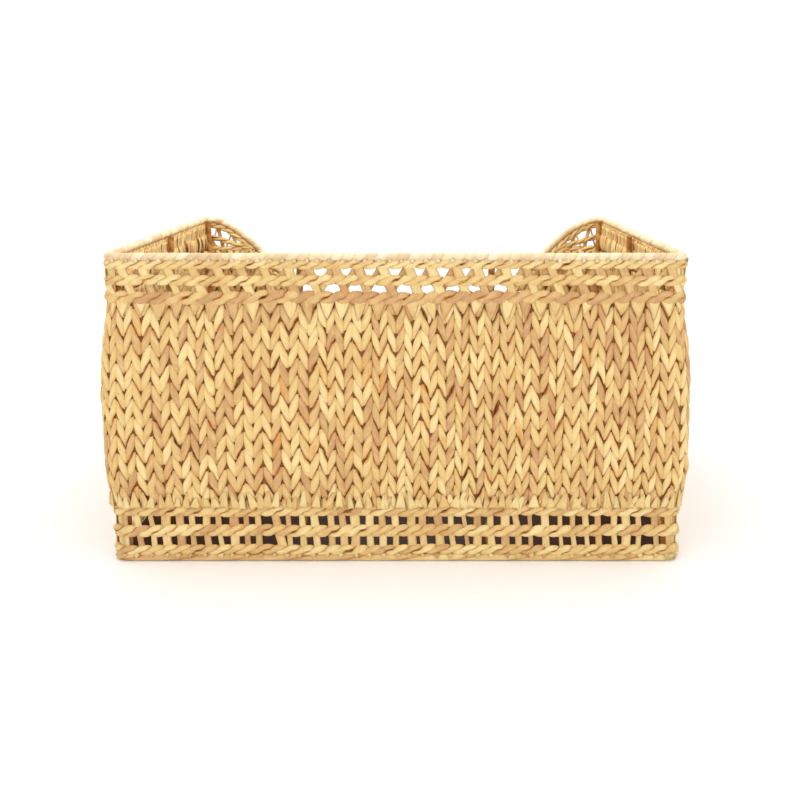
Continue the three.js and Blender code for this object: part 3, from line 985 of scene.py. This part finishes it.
def shoulder_stakes(middle, flip, line_x, line_z, rng):
    """Crossed pairs of stakes on a shoulder, from the border row down to the third row."""
    stakes = []
    for step in range(SHOULDER_PAIRS):
        top_x = CORNER_X - SHOULDER_PAIR_START - step * SHOULDER_PAIR_PITCH
        top_z = np.interp(top_x, line_x, line_z)
        for lean, width, out in SHOULDER_STAKES:
            top_s = middle - flip * top_x
            foot_s = middle - flip * (top_x - lean)
            stakes.append(stake(top_s, top_z, foot_s, TOP_ROWS[2], width, out, rng))
    return stakes


def build_scoop_shoulders(seed):
    """The border row under the scooped rim, and the two short rows and stakes left on each shoulder."""
    rng = np.random.default_rng(seed)
    drop = RIM_Z - TOP_ROWS[0]
    border = scoop_track(drop, SHOULDER_OUT)
    passes = round(border.length / TOP_ROW_PASSES[0])
    turn = 2 * border.length / passes
    parts = rope(border, turn, BORDER_RADII, -1, 0.0, rng, tones=TOP_ROW_TONES[0], **ROW_LOOKS)
    make_piece("scoop_border", parts, weave, "woven_leaf", "scoop_border_row")

    middle = wall_start("scooped") + WALL_LENGTHS["scooped"] / 2
    line = under_rim(drop, np.linspace(SCOOP_FLAT, CORNER_X, 400))
    for side, flip in (("right", 1), ("left", -1)):
        rows = shoulder_rows(middle, flip, *line, rng)
        stakes = shoulder_stakes(middle, flip, *line, rng)
        node = f"top_band_scooped_{side}"
        make_piece(f"scooped_{side}_shoulder_rows", rows, weave, "woven_leaf", node)
        make_piece(f"scooped_{side}_shoulder_stakes", stakes, weave, "woven_leaf", node)


# --- Windings ------------------------------------------------------------------------------------


def winding(track, lay, radius, rng, ease=0.2, crease=0.14, steps=10):
    """One strand wound closely round a rod."""
    turns = max(1, round(track.length / lay))
    turn = track.length / turns
    looks = {"ease": ease, "crease": crease, "steps": steps, **WINDING_LOOKS}
    return strand(track, turn, (radius, radius), -1, 0.0, rng, **looks)


def teeth(track, pitch, rng, foot, rise, width):
    """Small leaf tips that fold over the rod, from a height foot beside the rod's line, rising by rise."""
    tips = []
    for s in np.arange(pitch / 2, track.length - pitch / 2, pitch):
        at = s + rng.normal(0, 0.8)
        centre, side, out = (value[0] for value in track(np.array([at])))
        along = np.cross(side, out)
        share = np.linspace(0, 1, 5)
        line = centre + np.outer(foot + rise * rng.uniform(0.7, 1.2) * share, side)
        line = line + np.outer(rng.uniform(-1.4, 1.4) * share, along)
        line = line + np.outer(TIP_OUT + 0.5 * np.sin(share * math.pi), out)
        widths = width * rng.uniform(0.75, 1.25) * (1 - share ** 1.4) + 0.3
        tips.append(blade(line, out, widths, TIP_THICKNESS, rng))
    return tips


def build_windings(seed):
    """The windings of the rim and base rods, one run on each wall, with the tips that fold over them."""
    rng = np.random.default_rng(seed)
    for wall in WALLS:
        first, last = wall_span(wall)
        rim = scoop_track(0.0) if wall == "scooped" else loop_track(first, last, RIM_Z)
        base = loop_track(first, last, BASE_WRAP_Z, BASE_WRAP_OUT)
        parts = [winding(rim, RIM_LAY, WRAP_R, rng, crease=RIM_CREASE)]
        parts += teeth(rim, PAIR_PITCH / 2, rng, foot=-3.4, rise=3.4, width=3.0)
        make_piece(f"{wall}_rim_winding", parts, pale, "pale_winding", f"rim_wrap_{wall}")
        foot = [winding(base, BASE_LAY, BASE_WRAP_R, rng, ease=0.3, steps=16)]
        foot += teeth(base, STAKE_PITCH, rng, foot=3.4, rise=-3.6, width=3.6)
        make_piece(f"{wall}_base_winding", foot, weave, "pale_winding", f"base_wrap_{wall}")


def build_posts(seed):
    """Brown windings round the posts and uprights, where the frame has them."""
    rng = np.random.default_rng(seed)
    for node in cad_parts:
        if not node.startswith(("post_wrap_", "upright_wrap_")):
            continue
        low, high = node_box(node)
        middle = (low + high) / 2
        radius = (high[1] - low[1]) / 2
        z = np.linspace(low[2], high[2], 40)
        points = np.stack([np.full_like(z, middle[0]), np.full_like(z, middle[1]), z], axis=-1)
        side = np.tile([1.0, 0.0, 0.0], (40, 1))
        out = np.tile([0.0, 1.0, 0.0], (40, 1))
        parts = [winding(Track(points, side, out), POST_LAY, radius, rng, ease=0.0)]
        name = node.replace("_wrap", "_winding")
        make_piece(name, parts, brown, "brown_winding", node)


# --- Stage, light and camera ---------------------------------------------------------------------


def build_stage():
    """A wide pale floor."""
    half = FLOOR_HALF
    mesh = bpy.data.meshes.new("floor")
    corners = [(-half, -half, 0), (half, -half, 0), (half, half, 0), (-half, half, 0)]
    mesh.from_pydata(corners, [], [(0, 1, 2, 3)])
    n = Nodes("floor_paint")
    n.shader.inputs["Base Color"].default_value = (0.97, 0.97, 0.97, 1.0)
    n.shader.inputs["Roughness"].default_value = 0.9
    n.shader.inputs["Specular IOR Level"].default_value = 0.1
    mesh.materials.append(n.material)
    floor = bpy.data.objects.new("floor", mesh)
    bpy.context.scene.collection.objects.link(floor)


def area_light(name, place, target, size, power, colour):
    """A square light that looks at its target."""
    data = bpy.data.lights.new(name, "AREA")
    data.size = size
    data.energy = power
    data.color = colour
    light = bpy.data.objects.new(name, data)
    light.location = place
    light.rotation_euler = (Vector(target) - Vector(place)).to_track_quat("-Z", "Y").to_euler()
    bpy.context.scene.collection.objects.link(light)


def build_light():
    """A bright even world, and four soft lights. The inner one warms the inside of the basket."""
    world = bpy.data.worlds.new("studio")
    world.use_nodes = True
    background = world.node_tree.nodes["Background"]
    background.inputs["Color"].default_value = (1.0, 1.0, 1.0, 1.0)
    background.inputs["Strength"].default_value = WORLD_STRENGTH
    bpy.context.scene.world = world
    for name, settings in LIGHTS.items():
        area_light(name, *settings)
    bpy.context.scene.view_settings.view_transform = "Standard"


def build_camera():
    """The viewing place: a little above the rim, looking slightly down at the straight wall."""
    data = bpy.data.cameras.new("camera")
    data.lens = CAMERA_LENS
    data.sensor_width = 36.0
    data.shift_x, data.shift_y = CAMERA_SHIFT
    camera = bpy.data.objects.new("camera", data)
    camera.location = CAMERA_PLACE
    camera.rotation_euler = (math.radians(90 - CAMERA_PITCH), 0.0, 0.0)
    bpy.context.scene.collection.objects.link(camera)
    bpy.context.scene.camera = camera


def paint_bare_nodes():
    """The nodes that stay as they are in the frame: the floor board and the wires."""
    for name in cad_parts:
        node = bpy.data.objects.get(name)
        if node is None or node.hide_render:
            continue
        node.data.materials.clear()
        node.data.materials.append(board if name == "base_board" else iron)


CORNERS = {  # each corner, and the wall that ends at it
    "straight_right": "straight",
    "scooped_right": "right",
    "scooped_left": "scooped",
    "straight_left": "left",
}

build_camera()
build_light()
build_stage()
for number, wall_name in enumerate(WALLS):
    build_panel(wall_name, SEEDS["panels"] + number)
    build_bottom_band(wall_name, SEEDS["bottom_bands"] + number)
    if wall_name != "scooped":
        build_top_band(wall_name, SEEDS["top_bands"] + number)
for number, (corner_name, wall_name) in enumerate(CORNERS.items()):
    build_corner(corner_name, wall_name, SEEDS["corners"] + number)
build_scoop_shoulders(SEEDS["shoulders"])
build_windings(SEEDS["windings"])
build_posts(SEEDS["posts"])
paint_bare_nodes()
